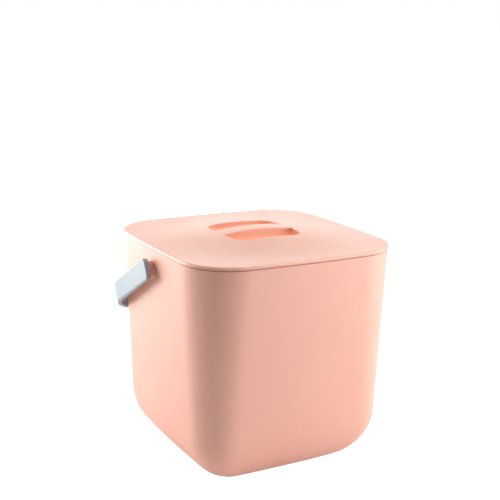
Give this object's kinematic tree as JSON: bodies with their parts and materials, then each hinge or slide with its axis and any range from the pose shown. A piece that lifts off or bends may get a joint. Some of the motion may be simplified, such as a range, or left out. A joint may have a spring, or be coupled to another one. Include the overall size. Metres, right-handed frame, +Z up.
{
  "type": "portable mini washer",
  "caption": "Small square bucket washer with a lift-off lid, a swinging strap handle and a removable round wash unit with a driven pulsator.",
  "frame": {"origin": "centre of the bucket's base, on the surface it stands on", "axes": "+Z up; the handle's pivots lie along X; the bucket's front faces -Y and the handle rests at the back, +Y"},
  "size_m": [0.2584, 0.2534, 0.2519],
  "materials": {
    "pink": "satin",
    "lid_pink": "satin",
    "strap": "satin",
    "white": "gloss",
    "grey": "matte",
    "green": "gloss",
    "clear_rubber": "matte",
    "dark_rubber": "matte",
    "steel": "brushed",
    "bronze": "sintered",
    "acetal": "matte",
    "magnet": "matte",
    "zinc": "plated"
  },
  "bodies": {
    "bucket_body": {"bucket": "pink", "pivot_bushes": "acetal"},
    "lid_body": {"lid": "lid_pink"},
    "bail": {"handle_bail": "strap", "pivot_clips": "steel"},
    "wash_unit": {"lower_housing": "white", "upper_housing": "white", "housing_seal": "dark_rubber", "housing_screws": "steel", "suction_feet": "clear_rubber", "upper_bush": "bronze", "lower_bush": "bronze", "shaft_seal": "dark_rubber", "idler_pin": "steel", "gearbox_plate": "grey", "gearbox_screws": "steel", "motor_can": "zinc", "motor_magnets": "magnet", "motor_end_cap": "grey", "motor_screws": "steel", "cord_grommet": "dark_rubber"},
    "rotor": {"pulsator": "white", "pulsator_screw": "steel", "centre_cap": "green", "output_shaft": "steel", "output_gear": "acetal"},
    "idler": {"idler_gear": "acetal"},
    "motor_rotor": {"motor_armature": "magnet", "motor_shaft": "steel", "motor_pinion": "acetal"}
  },
  "joints": [
    {"name": "lid_lift", "type": "slide", "parent": "bucket_body", "child": "lid_body", "axis": [0, 0, 1], "range_m": [0, 0.2]},
    {"name": "handle_swing", "type": "hinge", "parent": "bucket_body", "child": "bail", "pos_m": [0, 0, 0.217], "axis": [1, 0, 0], "range_deg": [0, 238]},
    {"name": "unit_lift", "type": "slide", "parent": "bucket_body", "child": "wash_unit", "axis": [0, 0, 1], "range_m": [0, 0.145]},
    {"name": "pulsator_spin", "type": "hinge", "parent": "wash_unit", "child": "rotor", "pos_m": [0, 0, 0.06], "axis": [0, 0, 1], "continuous": true},
    {"name": "idler_spin", "type": "hinge", "parent": "wash_unit", "child": "idler", "pos_m": [-0.02065, 0.02176, 0.05], "axis": [0, 0, 1], "continuous": true},
    {"name": "motor_spin", "type": "hinge", "parent": "wash_unit", "child": "motor_rotor", "pos_m": [0, 0.034, 0.03], "axis": [0, 0, 1], "continuous": true}
  ],
  "couplings": [
    {"joint": "idler_spin", "follows": "pulsator_spin", "ratio": -4},
    {"joint": "motor_spin", "follows": "pulsator_spin", "ratio": 12}
  ]
}
